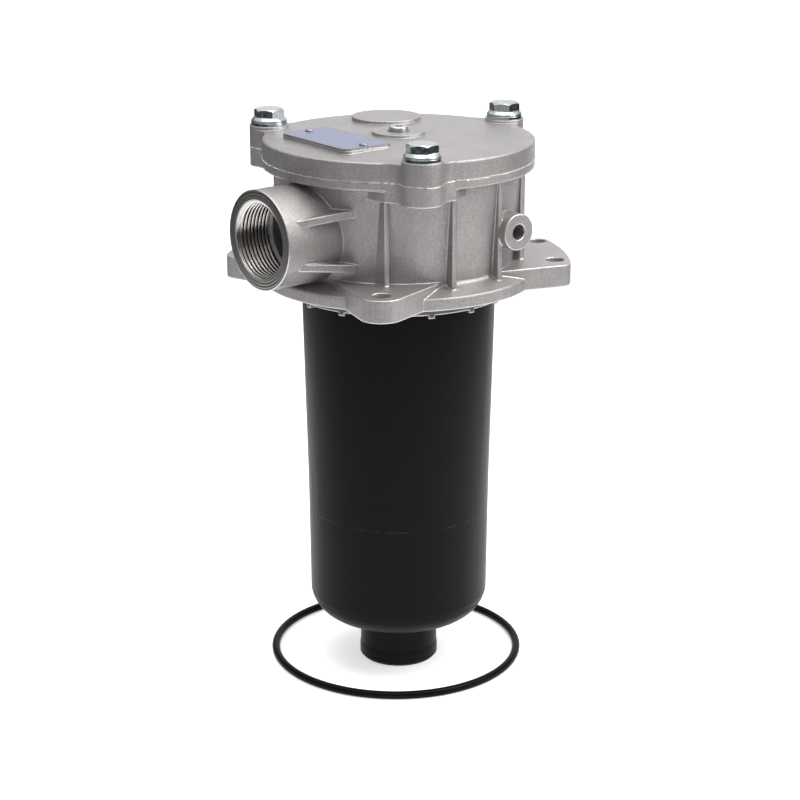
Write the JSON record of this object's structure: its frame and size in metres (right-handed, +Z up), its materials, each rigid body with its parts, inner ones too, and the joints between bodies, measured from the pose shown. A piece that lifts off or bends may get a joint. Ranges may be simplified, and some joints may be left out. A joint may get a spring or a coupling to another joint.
{
  "type": "return line filter",
  "caption": "Tank-top hydraulic return filter: die-cast head with threaded side inlet, bolted cover and lugged flange over a black bowl with an outlet spout.",
  "frame": {"origin": "centre of the head's mounting face, on the vertical axis of the drum and bowl", "axes": "+Z up, out of the tank; the inlet port faces -X; the gauge port faces -Y"},
  "size_m": [0.1838, 0.1674, 0.3151],
  "materials": {
    "alu_cast": "die-cast aluminium, fine sandy skin",
    "alu_rivet": "bright aluminium",
    "cap": "glass filled polyamide",
    "core": "tinned steel",
    "media": "resin bonded glass fibre media",
    "nylon": "moulded black polyamide",
    "plate": "anodised blue plate",
    "rubber": "black nitrile rubber",
    "spring": "spring steel",
    "zinc_steel": "bright zinc plated steel"
  },
  "bodies": {
    "housing": {"filter_head": "alu_cast", "cover": "alu_cast", "cover_bolts": "zinc_steel", "bolt_washers": "zinc_steel", "cover_seal": "rubber", "nameplate": "plate", "nameplate_rivets": "alu_rivet", "cover_plug": "zinc_steel", "plug_seal": "alu_rivet", "bowl": "nylon", "bowl_seal": "rubber", "tank_seal": "rubber", "upper_end_cap": "cap", "lower_end_cap": "cap", "element_seal": "rubber", "pleated_media": "media", "core_tube": "core", "bypass_cage": "core", "bypass_spring": "spring", "hold_down_spring": "spring"},
    "valve": {"bypass_poppet": "cap"}
  },
  "joints": [
    {"name": "bypass_lift", "type": "slide", "parent": "housing", "child": "valve", "axis": [0, 0, -1], "range_m": [0, 0.006], "stiffness_N_per_m": 8000, "springref_m": -0.0096, "deforming": ["bypass_spring"]}
  ]
}
